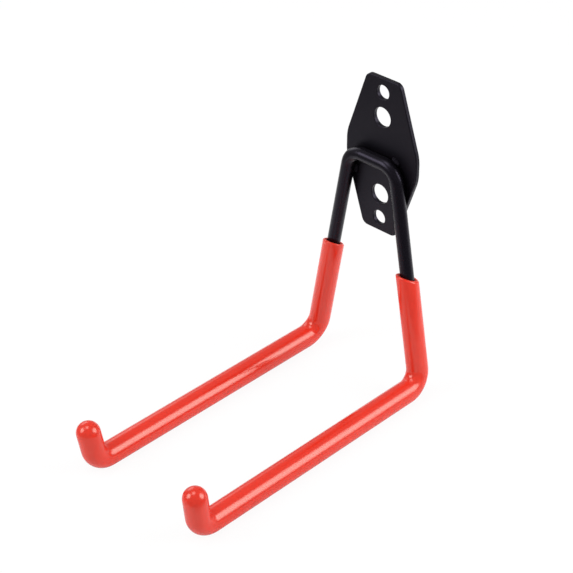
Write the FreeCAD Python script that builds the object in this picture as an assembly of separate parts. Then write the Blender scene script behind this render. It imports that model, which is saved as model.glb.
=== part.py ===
import FreeCAD, Part
import math
import os

# Garage utility hook: a stamped steel wall plate, one bent steel rod welded across it, and a soft
# PVC sleeve over each arm. Millimetres. The origin is the middle of the plate's back face, +Y goes
# into the wall, +Z is up and the arms reach out along -Y.

# Wall plate
plate_height = 74.6
plate_width = 40.3
plate_end_width = 18.6
plate_band_height = 10.6
plate_thickness = 2.0
plate_end_radius = 3.5
plate_side_radius = 19.0
plate_edge_round = 0.5
small_hole_diameter = 6.8
large_hole_diameter = 9.4
end_to_small_hole = 6.6
small_to_large_hole = 11.85
hole_edge_round = 0.3

# Bent rod, 6 mm bar with its coat, measured between the corners of its centre line
rod_diameter = 6.2
rod_end_chamfer = 0.6
rod_side_offset = -1.9
crossbar_drop = 0.8
crossbar_width = 25.8
arm_spacing = 63.3
leg_drop = 104.3
left_arm_length = 138.5
right_arm_length = 137.8
left_tip_length = 21.6
right_tip_length = 23.0
tip_lean_degrees = 8.7
tip_spread_degrees = 3.0
top_bend_radius = 8.3
lower_bend_radius = 9.0
tip_bend_radius = 7.9

# Sleeves
sleeve_leg_diameter = 10.1
sleeve_arm_diameter = 10.7
sleeve_leg_reach = 54.0
left_mouth_slant_degrees = 28.0
right_mouth_slant_degrees = 26.0
left_sleeve_twist_degrees = 20.0
right_sleeve_twist_degrees = 28.0
sleeve_rim_round = 0.8
sleeve_end_wall = 3.0
sleeve_clearance = 0.1

# Weld beads, in the crevice between the plate and the rod
weld_bead_radius = 1.3
weld_bead_height = 0.3
weld_bead_length = 1.8
weld_bead_distance = 2.8
inner_weld_reach = 9.5
outer_weld_turn_degrees = 26.0

Vector = FreeCAD.Vector
OUT_OF_WALL = Vector(0, -1, 0)


def corner_arc(before, corner, after, radius):
    """Rounds one corner: the arc's first, middle and last points."""
    towards_before = (before - corner).normalize()
    towards_after = (after - corner).normalize()
    half_angle = towards_before.getAngle(towards_after) / 2
    reach = radius / math.tan(half_angle)
    bisector = (towards_before + towards_after).normalize()
    middle = corner + bisector * (radius / math.sin(half_angle) - radius)
    return corner + towards_before * reach, middle, corner + towards_after * reach


def rounded_path(points, radii):
    """Straight runs from point to point, with a tangent arc at each inner point."""
    edges = []
    start = points[0]
    for before, corner, after, radius in zip(points, points[1:], points[2:], radii):
        first, middle, last = corner_arc(before, corner, after, radius)
        edges.append(Part.LineSegment(start, first).toShape())
        edges.append(Part.Arc(first, middle, last).toShape())
        start = last
    edges.append(Part.LineSegment(start, points[-1]).toShape())
    return edges


def round_bar(edges, diameter):
    """A solid round bar along a tangent path."""
    heading = edges[0].tangentAt(edges[0].FirstParameter)
    section = Part.Wire(Part.makeCircle(diameter / 2, edges[0].valueAt(edges[0].FirstParameter), heading))
    return Part.Wire(edges).makePipeShell([section], True, False)


def tapered_bend(arc, first_diameter, last_diameter):
    """A solid bend whose diameter changes evenly along the arc."""
    bend = Part.BRepOffsetAPI.MakePipeShell(Part.Wire(arc))
    for parameter, diameter in ((arc.FirstParameter, first_diameter), (arc.LastParameter, last_diameter)):
        circle = Part.makeCircle(diameter / 2, arc.valueAt(parameter), arc.tangentAt(parameter))
        bend.add(Part.Wire(circle))
    bend.build()
    bend.makeSolid()
    return bend.shape()


def front_edges(plate):
    """The edges that lie in the plate's front face."""
    return [edge for edge in plate.Edges if edge.BoundBox.YMax < -plate_thickness / 2 - plate_edge_round / 2]


def back_plate():
    """Stamped plate: a wide straight band in the middle, tapered to both ends, four holes in line."""
    end_x = plate_end_width / 2
    side_x = plate_width / 2
    end_z = plate_height / 2
    band_z = plate_band_height / 2
    corners = [
        (0, end_z, 0),
        (end_x, end_z, plate_end_radius),
        (side_x, band_z, plate_side_radius),
        (side_x, -band_z, plate_side_radius),
        (end_x, -end_z, plate_end_radius),
        (-end_x, -end_z, plate_end_radius),
        (-side_x, -band_z, plate_side_radius),
        (-side_x, band_z, plate_side_radius),
        (-end_x, end_z, plate_end_radius),
        (0, end_z, 0),
    ]
    points = [Vector(x, 0, z) for x, z, radius in corners]
    radii = [radius for x, z, radius in corners[1:-1]]
    outline = Part.Wire(rounded_path(points, radii))
    plate = Part.Face(outline).extrude(OUT_OF_WALL * plate_thickness)
    plate = plate.makeFillet(plate_edge_round, front_edges(plate))
    small_z = end_z - end_to_small_hole
    large_z = small_z - small_to_large_hole
    for diameter, hole_z in ((small_hole_diameter, small_z), (large_hole_diameter, large_z)):
        for z in (hole_z, -hole_z):
            hole = Part.makeCylinder(diameter / 2, plate_thickness, Vector(0, 0, z), OUT_OF_WALL)
            plate = plate.cut(hole)
    hole_rims = [edge for edge in front_edges(plate) if edge.isClosed()]
    return plate.makeFillet(hole_edge_round, hole_rims)


def arm_corners(side):
    """Corners of the rod's centre line on one side, from the crossbar to the top of the tip."""
    rod_y = -plate_thickness - rod_diameter / 2
    top = Vector(rod_side_offset + side * crossbar_width / 2, rod_y, -crossbar_drop)
    foot = Vector(rod_side_offset + side * arm_spacing / 2, rod_y, -crossbar_drop - leg_drop)
    knee = foot + OUT_OF_WALL * (left_arm_length if side < 0 else right_arm_length)
    lean = math.radians(tip_lean_degrees)
    spread = math.radians(tip_spread_degrees)
    tip_heading = Vector(side * math.sin(spread), -math.sin(lean), math.cos(lean)).normalize()
    tip = knee + tip_heading * (left_tip_length if side < 0 else right_tip_length)
    return top, foot, knee, tip


def hook_rod():
    """One rod bent at six corners, from the left tip over the crossbar to the right tip."""
    halves = {}
    for side in (-1, 1):
        top, foot, knee, tip = arm_corners(side)
        rod_tip = tip + (knee - tip).normalize() * (sleeve_end_wall + sleeve_clearance)
        halves[side] = [rod_tip, knee, foot, top]
    points = halves[-1] + halves[1][::-1]
    half_radii = [tip_bend_radius, lower_bend_radius, top_bend_radius]
    rod = round_bar(rounded_path(points, half_radii + half_radii[::-1]), rod_diameter)
    ends = [edge for edge in rod.Edges if min((edge.CenterOfMass - points[0]).Length,
                                              (edge.CenterOfMass - points[-1]).Length) < rod_diameter / 4]
    return rod.makeChamfer(rod_end_chamfer, ends)


def mouth_cutter(side, mouth, up_leg):
    """What lies past a sleeve's slanted mouth, which is lowest at the wall and twisted outwards."""
    slant = math.radians(left_mouth_slant_degrees if side < 0 else right_mouth_slant_degrees)
    twist = math.radians(left_sleeve_twist_degrees if side < 0 else right_sleeve_twist_degrees)
    outer_side = OUT_OF_WALL.cross(up_leg) * -side
    low_side = OUT_OF_WALL * -math.cos(twist) + outer_side * math.sin(twist)
    mouth_normal = up_leg * math.cos(slant) + low_side * math.sin(slant)
    return Part.makeCylinder(2 * sleeve_leg_diameter, 2 * sleeve_leg_diameter, mouth, mouth_normal)


def sleeve(side):
    """Soft tube pushed up over one arm: open on the leg, closed and domed at the tip."""
    top, foot, knee, tip = arm_corners(side)
    up_leg = (top - foot).normalize()
    down_tip = (knee - tip).normalize()
    mouth = foot + up_leg * sleeve_leg_reach
    past_mouth = mouth + up_leg * sleeve_leg_diameter
    dome = tip + down_tip * (sleeve_arm_diameter / 2)
    bend_radii = [lower_bend_radius, tip_bend_radius]
    leg_run, bend, *arm_runs = rounded_path([past_mouth, foot, knee, dome], bend_radii)
    leg_tube = round_bar([leg_run], sleeve_leg_diameter).cut(mouth_cutter(side, mouth, up_leg))
    rim = [edge for edge in leg_tube.Edges
           if edge.isClosed() and (edge.CenterOfMass - mouth).Length < sleeve_rim_round]
    skin = leg_tube.makeFillet(sleeve_rim_round, rim)
    skin = skin.fuse([
        tapered_bend(bend, sleeve_leg_diameter, sleeve_arm_diameter),
        round_bar(arm_runs, sleeve_arm_diameter),
        Part.makeSphere(sleeve_arm_diameter / 2, dome),
    ])
    bore_end = tip + down_tip * sleeve_end_wall
    bore_path = rounded_path([past_mouth, foot, knee, bore_end], bend_radii)
    return skin.cut(round_bar(bore_path, rod_diameter + 2 * sleeve_clearance)).removeSplitter()


def weld_bead(place, along):
    """One short round-ended bead that lies along the rod, sunk in the plate by most of its radius."""
    middle = Vector(place.x, -plate_thickness - weld_bead_height, place.z)
    start = middle - along * (weld_bead_length / 2)
    bead = Part.makeCylinder(weld_bead_radius, weld_bead_length, start, along)
    ends = [Part.makeSphere(weld_bead_radius, start, OUT_OF_WALL),
            Part.makeSphere(weld_bead_radius, start + along * weld_bead_length, OUT_OF_WALL)]
    return bead.fuse(ends)


def weld_beads(rod):
    """A bead inside each leg, and one outside the right bend, where the plate is wide enough for it."""
    beads = []
    for side in (-1, 1):
        top, foot, knee, tip = arm_corners(side)
        down_leg = (foot - top).normalize()
        inward = down_leg.cross(OUT_OF_WALL) * side
        beads.append(weld_bead(top + down_leg * inner_weld_reach + inward * weld_bead_distance, down_leg))
    crossbar_middle = Vector(rod_side_offset, top.y, top.z)
    bend_start, bend_middle, bend_end = corner_arc(crossbar_middle, top, foot, top_bend_radius)
    bend_centre = bend_start - Vector(0, 0, top_bend_radius)
    turn = math.radians(outer_weld_turn_degrees)
    outward = Vector(math.sin(turn), 0, math.cos(turn))
    along_bend = Vector(math.cos(turn), 0, -math.sin(turn))
    beads.append(weld_bead(bend_centre + outward * (top_bend_radius + weld_bead_distance), along_bend))
    in_front = Part.makeBox(plate_width, rod_diameter, plate_height,
                            Vector(-plate_width / 2, -plate_thickness - rod_diameter, -plate_height / 2))
    return Part.makeCompound([bead.cut(rod).common(in_front) for bead in beads])


os.makedirs("parts", exist_ok=True)
rod = hook_rod()
nodes = {
    "back_plate": back_plate(),
    "hook_rod": rod,
    "left_sleeve": sleeve(-1),
    "right_sleeve": sleeve(1),
    "weld_beads": weld_beads(rod),
}
for name, shape in nodes.items():
    shape.exportStep("parts/" + name + ".step")
    print(name, "solids", len(shape.Solids), "volume", round(shape.Volume, 1), "valid", shape.isValid())
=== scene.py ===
import math

import bpy
from mathutils import Matrix, Vector


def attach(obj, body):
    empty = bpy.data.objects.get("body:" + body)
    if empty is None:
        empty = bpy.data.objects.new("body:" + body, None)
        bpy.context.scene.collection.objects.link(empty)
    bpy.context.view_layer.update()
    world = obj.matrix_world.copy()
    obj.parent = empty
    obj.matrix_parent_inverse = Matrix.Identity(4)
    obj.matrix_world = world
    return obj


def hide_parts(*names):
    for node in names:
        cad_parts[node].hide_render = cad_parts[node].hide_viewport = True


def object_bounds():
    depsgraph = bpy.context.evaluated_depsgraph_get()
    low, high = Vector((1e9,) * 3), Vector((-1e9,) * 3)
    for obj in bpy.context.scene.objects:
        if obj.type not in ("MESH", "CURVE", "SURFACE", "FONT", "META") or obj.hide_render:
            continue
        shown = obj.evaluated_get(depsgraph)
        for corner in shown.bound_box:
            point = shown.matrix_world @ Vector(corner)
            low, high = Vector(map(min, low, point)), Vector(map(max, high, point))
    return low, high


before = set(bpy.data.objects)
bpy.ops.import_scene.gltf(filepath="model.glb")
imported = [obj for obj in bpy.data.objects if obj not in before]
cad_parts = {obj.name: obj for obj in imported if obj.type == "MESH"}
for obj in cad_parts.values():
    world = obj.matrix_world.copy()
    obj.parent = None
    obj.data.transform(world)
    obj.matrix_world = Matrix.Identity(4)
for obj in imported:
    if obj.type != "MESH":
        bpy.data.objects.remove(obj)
cad_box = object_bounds()


# Back plate: a flat plate stamped from 2 mm steel sheet, wide in the middle where the rod is welded on.
# Four punched holes take the wall screws. The punch rolls the front edges over a little, and plate,
# rod and welds are coated together in satin black powder.

MM = 0.001


def linear(hex_colour):
    """An sRGB hex colour as linear RGBA."""
    channels = [int(hex_colour[i:i + 2], 16) / 255 for i in (1, 3, 5)]
    return [c / 12.92 if c <= 0.04045 else ((c + 0.055) / 1.055) ** 2.4 for c in channels] + [1.0]


def add_node(owner, kind, settings, inputs):
    """Adds a shader node to a material, lamp or world. An input's value is a number or a list, or a
    (node, output name) pair to link."""
    node = owner.node_tree.nodes.new(kind)
    for name, value in settings.items():
        setattr(node, name, value)
    for name, value in inputs.items():
        if isinstance(value, tuple):
            owner.node_tree.links.new(value[0].outputs[value[1]], node.inputs[name])
        else:
            node.inputs[name].default_value = value
    return node


def new_material(name):
    """An empty node material."""
    material = bpy.data.materials.new(name)
    material.use_nodes = True
    material.node_tree.nodes.clear()
    return material


def powder_coat(name, roughness_range, peel_depth):
    """Satin black epoxy powder, baked on. It melts into a skin with a fine orange peel, so lights in it are
    soft and slightly broken, and the black is never quite even: a touch warmer where the coat is thin."""
    thin_black = "#0a080b"
    thick_black = "#060508"
    cool_gloss = "#e6dbff"
    peel_size = 1.4 * MM    # real peel is about 0.6 mm wide, drawn coarser so that it shows
    cloud_size = 11 * MM
    fleck_size = 0.5 * MM
    fleck_depth = peel_depth / 6
    cloud_low, cloud_high = 0.3, 0.7    # most of a noise lies between these
    coat = new_material(name)
    place = add_node(coat, "ShaderNodeTexCoord", {}, {})
    clouds = add_node(coat, "ShaderNodeTexNoise", {},
                      {"Vector": (place, "Object"), "Scale": 1 / cloud_size, "Detail": 3.0})
    peel = add_node(coat, "ShaderNodeTexNoise", {},
                    {"Vector": (place, "Object"), "Scale": 1 / peel_size, "Detail": 1.5})
    flecks = add_node(coat, "ShaderNodeTexNoise", {},
                      {"Vector": (place, "Object"), "Scale": 1 / fleck_size, "Detail": 0.0})
    colour = add_node(coat, "ShaderNodeMix", {"data_type": "RGBA"},
                      {"Factor": (clouds, "Fac"), "A": linear(thick_black), "B": linear(thin_black)})
    gloss = add_node(coat, "ShaderNodeMapRange", {},
                     {"Value": (clouds, "Fac"), "From Min": cloud_low, "From Max": cloud_high,
                      "To Min": roughness_range[0], "To Max": roughness_range[1]})
    skin = add_node(coat, "ShaderNodeBump", {},
                    {"Height": (peel, "Fac"), "Strength": 1.0, "Distance": peel_depth})
    grain = add_node(coat, "ShaderNodeBump", {},
                     {"Height": (flecks, "Fac"), "Strength": 1.0, "Distance": fleck_depth,
                      "Normal": (skin, "Normal")})
    shader = add_node(coat, "ShaderNodeBsdfPrincipled", {},
                      {"Base Color": (colour, "Result"), "Roughness": (gloss, "Result"),
                       "Normal": (grain, "Normal"), "IOR": 1.5, "Specular IOR Level": 0.25,
                       "Specular Tint": linear(cool_gloss)})
    add_node(coat, "ShaderNodeOutputMaterial", {}, {"Surface": (shader, "BSDF")})
    return coat


def finish_node(name, material):
    """Gives a CAD node its finish."""
    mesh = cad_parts[name].data
    mesh.materials.clear()
    mesh.materials.append(material)


plate_finish = powder_coat("powder_coat_on_sheet_steel", roughness_range=(0.36, 0.44), peel_depth=0.006 * MM)
finish_node("back_plate", plate_finish)


# Hook rod: one 6 mm round steel rod, bent cold in a jig: a crossbar against the plate, two splayed legs,
# two arms and two upturned tips. It is coated with the plate, and the round rod lets the powder flow
# out smoother, so it is a little glossier.

rod_finish = powder_coat("powder_coat_on_drawn_rod", roughness_range=(0.24, 0.29), peel_depth=0.004 * MM)
finish_node("hook_rod", rod_finish)


# Weld beads: three short tack welds in the crevice between plate and rod, one inside each leg and one
# outside the right bend. Each is a few overlapping drops of weld metal, laid down one after another, so
# ripples show under the coat. The metal runs into the rod and the plate.

plate_front_y = -2.0 * MM
rod_y = -5.1 * MM
crossbar_z = -0.8 * MM
foot_z = -105.1 * MM
rod_middle_x = -1.9 * MM
half_crossbar = 12.9 * MM
half_arm_spacing = 31.65 * MM
top_bend_radius = 8.3 * MM
weld_radius = 1.3 * MM
weld_height = 0.3 * MM
weld_distance = 2.8 * MM
inner_weld_reach = 9.5 * MM
outer_weld_turn = math.radians(26)
drop_spacing = 0.72 * MM
drop_half_length = 0.78 * MM
drop_sizes = (0.7, 0.84, 0.8, 0.86, 0.68)
weld_voxel = 0.1 * MM
out = Vector((0, -1, 0))


def leg_line(side):
    """Where one leg's centre line starts at the crossbar, ends at the foot, and its heading down."""
    top = Vector((rod_middle_x + side * half_crossbar, rod_y, crossbar_z))
    foot = Vector((rod_middle_x + side * half_arm_spacing, rod_y, foot_z))
    return top, foot, (foot - top).normalized()


def weld_drops(place, along):
    """One weld: a row of flattened drops that overlap along the rod."""
    turn = Matrix((along, along.cross(out), out)).transposed().to_euler()
    middle = Vector((place.x, plate_front_y - weld_height, place.z))
    row = []
    for number, size in enumerate(drop_sizes):
        step = along * drop_spacing * (number - (len(drop_sizes) - 1) / 2)
        drop_scale = (drop_half_length, weld_radius * size, weld_radius * size)
        bpy.ops.mesh.primitive_uv_sphere_add(segments=24, ring_count=16, radius=1.0, location=middle + step,
                                             rotation=turn, scale=drop_scale)
        row.append(bpy.context.object)
    return row


def apply_modifier(piece, kind, **settings):
    """Adds a modifier with its settings and applies it."""
    modifier = piece.modifiers.new(kind, kind)
    for name, value in settings.items():
        setattr(modifier, name, value)
    bpy.ops.object.modifier_apply(modifier=modifier.name)


bpy.ops.object.select_all(action="DESELECT")
drops = []
for leg_side in (-1, 1):
    leg_top, _, down_leg = leg_line(leg_side)
    inward = down_leg.cross(out) * leg_side
    drops += weld_drops(leg_top + down_leg * inner_weld_reach + inward * weld_distance, down_leg)
leg_turn = math.pi / 2 - math.asin(down_leg.x)
bend_start_x = leg_top.x - top_bend_radius * math.tan(leg_turn / 2)
bend_centre = Vector((bend_start_x, rod_y, crossbar_z - top_bend_radius))
outward = Vector((math.sin(outer_weld_turn), 0, math.cos(outer_weld_turn)))
along_bend = Vector((math.cos(outer_weld_turn), 0, -math.sin(outer_weld_turn)))
drops += weld_drops(bend_centre + outward * (top_bend_radius + weld_distance), along_bend)
for drop in drops:
    drop.select_set(True)
bpy.ops.object.join()
welds = bpy.context.object
welds.name = "rippled_welds"
welds.data.name = "rippled_welds"
bpy.ops.object.transform_apply(location=True, rotation=True, scale=True)
apply_modifier(welds, "REMESH", mode="VOXEL", voxel_size=weld_voxel)
apply_modifier(welds, "SMOOTH", factor=0.5, iterations=2)
bpy.ops.object.shade_smooth()
weld_finish = powder_coat("powder_coat_on_weld_metal", roughness_range=(0.75, 0.85), peel_depth=0.004 * MM)
welds.data.materials.append(weld_finish)
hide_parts("weld_beads")
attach(welds, "root")


# Sleeves: a red soft PVC tube over each arm, dip-moulded with a round closed tip. It is pushed on over the
# bent rod and grips it from the tip to halfway up the leg. The tube's inner side takes the shorter way
# round the bends, so its open end sits on a slant, higher in front than at the wall.

left_arm_length = 138.5 * MM
right_arm_length = 137.8 * MM
left_tip_length = 21.6 * MM
right_tip_length = 23.0 * MM
tip_lean = math.radians(8.7)
tip_spread = math.radians(3.0)
lower_bend_radius = 9.0 * MM
tip_bend_radius = 7.9 * MM
leg_reach = 54.0 * MM
left_mouth_slant = math.radians(28)
right_mouth_slant = math.radians(26)
left_twist = math.radians(20)
right_twist = math.radians(28)
leg_radius = 5.05 * MM
arm_radius = 5.35 * MM
wall = 1.85 * MM
rim_round = 0.8 * MM
bore_round = 0.7 * MM
rim_segments = 5
ring_points = 64
leg_rings = 10
lower_bend_rings = 20
arm_rings = 30
tip_bend_rings = 18
tip_rings = 3
dome_rings = 10


def bend_at(corner, heading_in, heading_out, radius):
    """Where a bend starts and ends, its centre, its axis and how far it turns."""
    turn = heading_in.angle(heading_out)
    reach = radius * math.tan(turn / 2)
    start = corner - heading_in * reach
    end = corner + heading_out * reach
    sideways = (heading_out - heading_in * heading_in.dot(heading_out)).normalized()
    axis = heading_in.cross(heading_out).normalized()
    return start, end, start + sideways * radius, axis, turn


def start_tube(name, centre, heading, radius):
    """A new mesh with one ring of edges, square to its heading and selected in edit mode."""
    bpy.ops.object.select_all(action="DESELECT")
    turn = heading.to_track_quat("Z", "Y").to_euler()
    bpy.ops.mesh.primitive_circle_add(vertices=ring_points, radius=radius, location=centre, rotation=turn)
    piece = bpy.context.object
    piece.name = name
    piece.data.name = name
    bpy.ops.object.transform_apply(location=True, rotation=True, scale=True)
    bpy.ops.object.mode_set(mode="EDIT")
    bpy.ops.mesh.select_all(action="SELECT")
    return piece


def extrude_run(start, end, rings):
    """Draws the selected ring out along a straight run."""
    for _ in range(rings):
        bpy.ops.mesh.extrude_region_move(TRANSFORM_OT_translate={"value": (end - start) / rings})


def extrude_bend(start, centre, axis, turn, rings, growth):
    """Draws the selected ring round a bend, and grows it evenly on the way. Spin turns left-handed."""
    for ring in range(1, rings + 1):
        bpy.ops.mesh.spin(steps=1, angle=-turn / rings, center=centre, axis=axis)
        ring_centre = centre + Matrix.Rotation(turn * ring / rings, 3, axis) @ (start - centre)
        step = growth ** (1 / rings)
        bpy.ops.transform.resize(value=(step, step, step), center_override=ring_centre)


def extrude_dome(centre, heading, radius):
    """Closes the selected ring with half a ball."""
    for ring in range(1, dome_rings + 1):
        before = math.pi / 2 * (ring - 1) / dome_rings
        after = math.pi / 2 * ring / dome_rings
        rise = heading * radius * (math.sin(after) - math.sin(before))
        bpy.ops.mesh.extrude_region_move(TRANSFORM_OT_translate={"value": rise})
        if ring == dome_rings:
            bpy.ops.mesh.merge(type="CENTER")
        else:
            shrink = math.cos(after) / math.cos(before)
            bpy.ops.transform.resize(value=(shrink, shrink, shrink),
                                     center_override=centre + heading * radius * math.sin(after))


def mouth_heading(side, down):
    """The direction that a sleeve's slanted mouth faces. The sleeves sit twisted outwards."""
    slant = left_mouth_slant if side < 0 else right_mouth_slant
    twist = left_twist if side < 0 else right_twist
    low_side = out.cross(down) * side * math.sin(twist) - out * math.cos(twist)
    return low_side * math.sin(slant) - down * math.cos(slant)


def cut_mouth(mouth, heading):
    """Cuts the tube off at its mouth and closes the cut wall."""
    bpy.ops.object.mode_set(mode="EDIT")
    bpy.ops.mesh.select_all(action="SELECT")
    bpy.ops.mesh.bisect(plane_co=mouth, plane_no=heading, clear_outer=True)
    bpy.ops.mesh.bridge_edge_loops()
    bpy.ops.object.mode_set(mode="OBJECT")


def round_rim(piece, mouth, heading, down, radius, width):
    """Bevels the edges of the mouth that lie at a radius from the leg's centre line."""
    near = 0.1 * MM
    on_rim = []
    for vertex in piece.data.vertices:
        offset = vertex.co - mouth
        from_line = (offset - down * offset.dot(down)).length
        on_rim.append(abs(offset.dot(heading)) < near and abs(from_line - radius) < near)
    bpy.ops.object.mode_set(mode="EDIT")
    bpy.ops.mesh.select_all(action="DESELECT")
    bpy.ops.object.mode_set(mode="OBJECT")
    for edge in piece.data.edges:
        edge.select = on_rim[edge.vertices[0]] and on_rim[edge.vertices[1]]
    bpy.ops.object.mode_set(mode="EDIT")
    bpy.ops.mesh.select_mode(type="EDGE")
    bpy.ops.mesh.bevel(offset=width, segments=rim_segments, affect="EDGES")
    bpy.ops.mesh.select_mode(type="VERT")
    bpy.ops.object.mode_set(mode="OBJECT")


def pvc_sleeve(name, side, skin, cut_end):
    """One sleeve, from its cut end on the leg to its domed tip; side is -1 left and 1 right."""
    _, foot, down = leg_line(side)
    knee = foot + out * (left_arm_length if side < 0 else right_arm_length)
    up_tip = Vector((side * math.sin(tip_spread), -math.sin(tip_lean), math.cos(tip_lean))).normalized()
    tip_length = left_tip_length if side < 0 else right_tip_length
    mouth = foot - down * leg_reach
    past_mouth = mouth - down * leg_radius * 2
    below_mouth = mouth + down * leg_radius * 2
    dome = knee + up_tip * (tip_length - arm_radius)
    bend_start, bend_end, bend_centre, bend_axis, bend_turn = bend_at(foot, down, out, lower_bend_radius)
    tip_start, tip_end, tip_centre, tip_axis, tip_turn = bend_at(knee, out, up_tip, tip_bend_radius)
    piece = start_tube(name, past_mouth, down, leg_radius)
    extrude_run(past_mouth, below_mouth, rings=1)
    extrude_run(below_mouth, bend_start, leg_rings)
    extrude_bend(bend_start, bend_centre, bend_axis, bend_turn, lower_bend_rings, arm_radius / leg_radius)
    extrude_run(bend_end, tip_start, arm_rings)
    extrude_bend(tip_start, tip_centre, tip_axis, tip_turn, tip_bend_rings, growth=1.0)
    extrude_run(tip_end, dome, tip_rings)
    extrude_dome(dome, up_tip, arm_radius)
    bpy.ops.mesh.select_all(action="SELECT")
    bpy.ops.mesh.remove_doubles(threshold=0.001 * MM)
    bpy.ops.mesh.normals_make_consistent(inside=False)
    bpy.ops.object.mode_set(mode="OBJECT")
    apply_modifier(piece, "SOLIDIFY", thickness=wall, offset=-1.0)
    heading = mouth_heading(side, down)
    cut_mouth(mouth, heading)
    round_rim(piece, mouth, heading, down, leg_radius, rim_round)
    round_rim(piece, mouth, heading, down, leg_radius - wall, bore_round)
    bpy.ops.object.shade_smooth_by_angle(angle=math.radians(40))
    piece.data.materials.append(skin)
    piece.data.materials.append(cut_end)
    for face in piece.data.polygons:
        offset = face.center - mouth
        from_line = (offset - down * offset.dot(down)).length
        if from_line < leg_radius - rim_round and offset.dot(down) < leg_radius:
            face.material_index = 1
    return piece


def soft_pvc(name, roughness_range):
    """Plasticised PVC, dipped and cured. The colour goes right through, the skin sets glossy with a slow
    ripple from dripping, and a little light sinks in, so edges and the dome glow a lighter red. Where a
    knife has cut it the skin is gone, and it is matt."""
    full_red = "#d43020"
    deep_red = "#cf2b1c"
    warm_gloss = "#fffff3"
    ripple_size = 9 * MM
    grain_size = 0.9 * MM    # real grain is about 0.2 mm, drawn coarser so that it shows
    ripple_depth = 0.008 * MM
    grain_depth = 0.0002 * MM
    ripple_low, ripple_high = 0.3, 0.7
    pvc = new_material(name)
    place = add_node(pvc, "ShaderNodeTexCoord", {}, {})
    ripple = add_node(pvc, "ShaderNodeTexNoise", {},
                      {"Vector": (place, "Object"), "Scale": 1 / ripple_size, "Detail": 2.0})
    grain = add_node(pvc, "ShaderNodeTexNoise", {},
                     {"Vector": (place, "Object"), "Scale": 1 / grain_size, "Detail": 1.0})
    colour = add_node(pvc, "ShaderNodeMix", {"data_type": "RGBA"},
                      {"Factor": (ripple, "Fac"), "A": linear(deep_red), "B": linear(full_red)})
    gloss = add_node(pvc, "ShaderNodeMapRange", {},
                     {"Value": (ripple, "Fac"), "From Min": ripple_low, "From Max": ripple_high,
                      "To Min": roughness_range[0], "To Max": roughness_range[1]})
    skin = add_node(pvc, "ShaderNodeBump", {},
                    {"Height": (ripple, "Fac"), "Strength": 1.0, "Distance": ripple_depth})
    fine = add_node(pvc, "ShaderNodeBump", {},
                    {"Height": (grain, "Fac"), "Strength": 1.0, "Distance": grain_depth,
                     "Normal": (skin, "Normal")})
    shader = add_node(pvc, "ShaderNodeBsdfPrincipled", {},
                      {"Base Color": (colour, "Result"), "Roughness": (gloss, "Result"),
                       "Normal": (fine, "Normal"), "IOR": 1.53, "Specular IOR Level": 0.5,
                       "Specular Tint": linear(warm_gloss), "Subsurface Weight": 0.08,
                       "Subsurface Radius": [1.0, 0.25, 0.2], "Subsurface Scale": 1.0 * MM})
    add_node(pvc, "ShaderNodeOutputMaterial", {}, {"Surface": (shader, "BSDF")})
    return pvc


skin_finish = soft_pvc("dip_moulded_soft_pvc", roughness_range=(0.15, 0.17))
cut_finish = soft_pvc("knife_cut_soft_pvc", roughness_range=(0.65, 0.75))
for sleeve_node, sleeve_side in (("left_sleeve", -1), ("right_sleeve", 1)):
    sleeve = pvc_sleeve("pvc_" + sleeve_node, sleeve_side, skin_finish, cut_finish)
    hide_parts(sleeve_node)
    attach(sleeve, "root")


# Studio: the hook stands on its arms on a white table, under softboxes in front to the left, behind to the
# right and above, with a white board at the left. The table is white to the eye. In the hook's gloss it
# carries
# painted shade: white behind, greyer to the left and a little in front, and darkest past the right arm.

floor_gap = 0.1 * MM
floor_z = cad_box[0].z - floor_gap
bpy.ops.object.select_all(action="DESELECT")
bpy.ops.mesh.primitive_plane_add(size=6.0, location=(0, 0, floor_z))
floor = bpy.context.object
floor.name = "floor"
bpy.ops.object.transform_apply(location=True, rotation=True, scale=True)

eye_glow = 0.92    # the share of the table's white that is its own light, to the eye
mirror_glow = 0.3    # the same share in the hook's gloss
matt_whiteness = 0.9
plain_white_start, plain_white_end = 0.35, 0.8    # metres from the hook
picture_right = [0.719, 0.695, 0.0]    # directions over the table, the first two as the camera sees it
picture_depth = [-0.695, 0.719, 0.0]
front_right = [0.866, -0.5, 0.0]
white_table = new_material("white_table_laminate")
table_place = add_node(white_table, "ShaderNodeTexCoord", {}, {})


def painted_shade_along(direction, start, end, first_tone, last_tone):
    """Painted shade on the table along one direction: how white it is, with its tones at two distances in
    metres.
    """
    along = add_node(white_table, "ShaderNodeVectorMath", {"operation": "DOT_PRODUCT"},
                     {0: (table_place, "Object"), 1: direction})
    return add_node(white_table, "ShaderNodeMapRange", {"interpolation_type": "SMOOTHSTEP"},
                    {"Value": (along, "Value"), "From Min": start, "From Max": end,
                     "To Min": first_tone, "To Max": last_tone})


# Painted shade: these fades grey the table to the left, a little in front and past the right arm, for the
# hook's gloss only.
painted_shade_left = painted_shade_along(picture_right, start=-0.27, end=-0.13, first_tone=0.3, last_tone=1.0)
painted_shade_front = painted_shade_along(picture_depth, start=-0.15, end=0.05, first_tone=0.75, last_tone=1.0)
painted_shade_corner = painted_shade_along(front_right, start=0.105, end=0.135, first_tone=1.0, last_tone=0.25)
painted_shade_front_and_corner = add_node(white_table, "ShaderNodeMath", {"operation": "MINIMUM"},
                       {0: (painted_shade_corner, "Result"), 1: (painted_shade_front, "Result")})
painted_table_shade = add_node(white_table, "ShaderNodeMath", {"operation": "MINIMUM"},
                       {0: (painted_shade_left, "Result"), 1: (painted_shade_front_and_corner, "Value")})
light_path = add_node(white_table, "ShaderNodeLightPath", {}, {})
mirror_ray = add_node(white_table, "ShaderNodeMath", {"operation": "MAXIMUM"},
                      {0: (light_path, "Is Glossy Ray"), 1: (light_path, "Is Transmission Ray")})
other_ray = add_node(white_table, "ShaderNodeMath", {"operation": "SUBTRACT"},
                     {0: 1.0, 1: (mirror_ray, "Value")})
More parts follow.
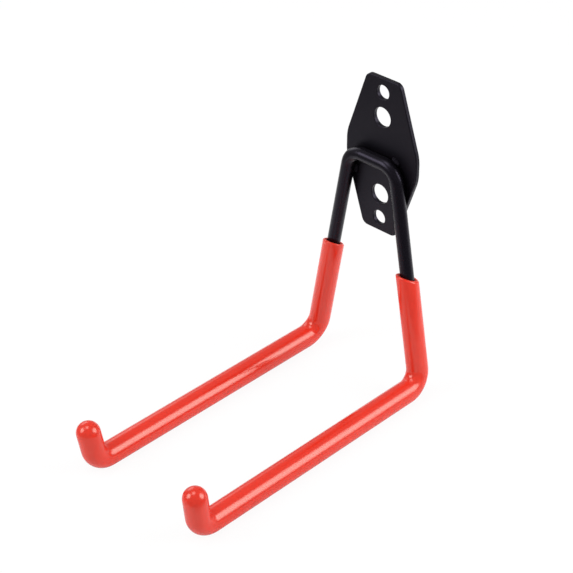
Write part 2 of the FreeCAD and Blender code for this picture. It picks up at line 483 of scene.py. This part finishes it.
# The painted shade dims the table's glow and matt white for gloss rays only; the eye and diffuse light see
# full white.
tone = add_node(white_table, "ShaderNodeMath", {"operation": "MAXIMUM"},
                {0: (painted_table_shade, "Value"), 1: (other_ray, "Value")})
hook_distance = add_node(white_table, "ShaderNodeVectorMath", {"operation": "LENGTH"},
                         {0: (table_place, "Object")})
eye_share = add_node(white_table, "ShaderNodeMapRange", {"interpolation_type": "SMOOTHSTEP"},
                     {"Value": (hook_distance, "Value"), "From Min": plain_white_start,
                      "From Max": plain_white_end, "To Min": eye_glow, "To Max": 1.0})
mirror_share = add_node(white_table, "ShaderNodeMath", {"operation": "MULTIPLY"},
                        {0: (mirror_ray, "Value"), 1: mirror_glow})
glow_share = add_node(white_table, "ShaderNodeMath", {"operation": "MULTIPLY_ADD"},
                      {0: (light_path, "Is Camera Ray"), 1: (eye_share, "Result"),
                       2: (mirror_share, "Value")})
matt_tone = add_node(white_table, "ShaderNodeMath", {"operation": "MULTIPLY"},
                     {0: (tone, "Value"), 1: matt_whiteness})
matt_white = add_node(white_table, "ShaderNodeBsdfDiffuse", {}, {"Color": (matt_tone, "Value")})
white_glow = add_node(white_table, "ShaderNodeEmission", {}, {"Strength": (tone, "Value")})
table_surface = add_node(white_table, "ShaderNodeMixShader", {},
                         {0: (glow_share, "Value"), 1: (matt_white, "BSDF"), 2: (white_glow, "Emission")})
add_node(white_table, "ShaderNodeOutputMaterial", {}, {"Surface": (table_surface, "Shader")})
floor.data.materials.append(white_table)

hook_middle = Vector((-2, -70, -45)) * MM


def softbox(name, azimuth, elevation, width, height, brightness):
    """A studio light turned to the hook; azimuth is from -Y towards +X, in degrees. Its cloth is brightest
    in the middle and fades to nothing at the edge, all of it as bright on average as brightness says."""
    distance = 1.1
    watts_for_white = 4    # a square metre of cloth looks plain white at 4 W
    middle_gain = 2.85
    cloth_middle = [0.5, 0.5, 0.0]    # as shares of the width and height, like the next two
    even_part = 0.15
    rim = 0.5
    turn = math.radians(azimuth)
    rise = math.radians(elevation)
    towards = Vector((math.sin(turn) * math.cos(rise), -math.cos(turn) * math.cos(rise), math.sin(rise)))
    lamp = bpy.data.lights.new(name, "AREA")
    lamp.shape = "RECTANGLE"
    lamp.size = width
    lamp.size_y = height
    lamp.energy = brightness * watts_for_white * width * height
    lamp.use_nodes = True
    cloth = add_node(lamp, "ShaderNodeNewGeometry", {}, {})
    from_middle = add_node(lamp, "ShaderNodeVectorMath", {"operation": "DISTANCE"},
                           {0: (cloth, "Parametric"), 1: cloth_middle})
    falloff = add_node(lamp, "ShaderNodeMapRange", {"interpolation_type": "SMOOTHSTEP"},
                       {"Value": (from_middle, "Value"), "From Min": even_part, "From Max": rim,
                        "To Min": middle_gain, "To Max": 0.0})
    glow = lamp.node_tree.nodes["Emission"]
    lamp.node_tree.links.new(falloff.outputs["Result"], glow.inputs["Strength"])
    box = bpy.data.objects.new(name, lamp)
    bpy.context.scene.collection.objects.link(box)
    box.location = hook_middle + towards * distance
    box.rotation_euler = towards.to_track_quat("Z", "Y").to_euler()
    box.visible_camera = False


softbox("softbox_front_left", azimuth=-30, elevation=32, width=1.0, height=1.0, brightness=1.7)
softbox("softbox_back_right", azimuth=126, elevation=28, width=1.2, height=1.25, brightness=1.75)
softbox("softbox_above", azimuth=-20, elevation=77, width=0.8, height=0.8, brightness=1.2)
softbox("bounce_board_left", azimuth=-105, elevation=25, width=1.1, height=1.0, brightness=0.5)

room_light = 0.42
world = bpy.data.worlds.new("studio")
world.use_nodes = True
room = world.node_tree.nodes["Background"]
room.inputs["Color"].default_value = linear("#ffffff")
room_path = add_node(world, "ShaderNodeLightPath", {}, {})
room_strength = add_node(world, "ShaderNodeMath", {"operation": "MAXIMUM"},
                         {0: (room_path, "Is Camera Ray"), 1: room_light})
world.node_tree.links.new(room_strength.outputs["Value"], room.inputs["Strength"])
bpy.context.scene.world = world
bpy.context.scene.view_settings.view_transform = "Standard"


# Camera: to the right of the hook and above it, with a long lens about three quarters of a metre away.
# Its place, turn and lens are fitted to the hook's outline in the photo.

camera_place = Vector((433.18, -508.06, 365.73)) * MM
camera_right = Vector((0.719, 0.695, -0.0017)).normalized()
camera_back = Vector((0.5831, -0.6019, 0.5457)).normalized()
camera_up = camera_back.cross(camera_right).normalized()
lens = bpy.data.cameras.new("camera")
lens.sensor_width = 36.0
lens.lens = 109.67
lens.clip_start = 0.01
camera = bpy.data.objects.new("camera", lens)
bpy.context.scene.collection.objects.link(camera)
camera.matrix_world = Matrix((camera_right, camera_up, camera_back)).transposed().to_4x4()
camera.location = camera_place
bpy.context.scene.camera = camera
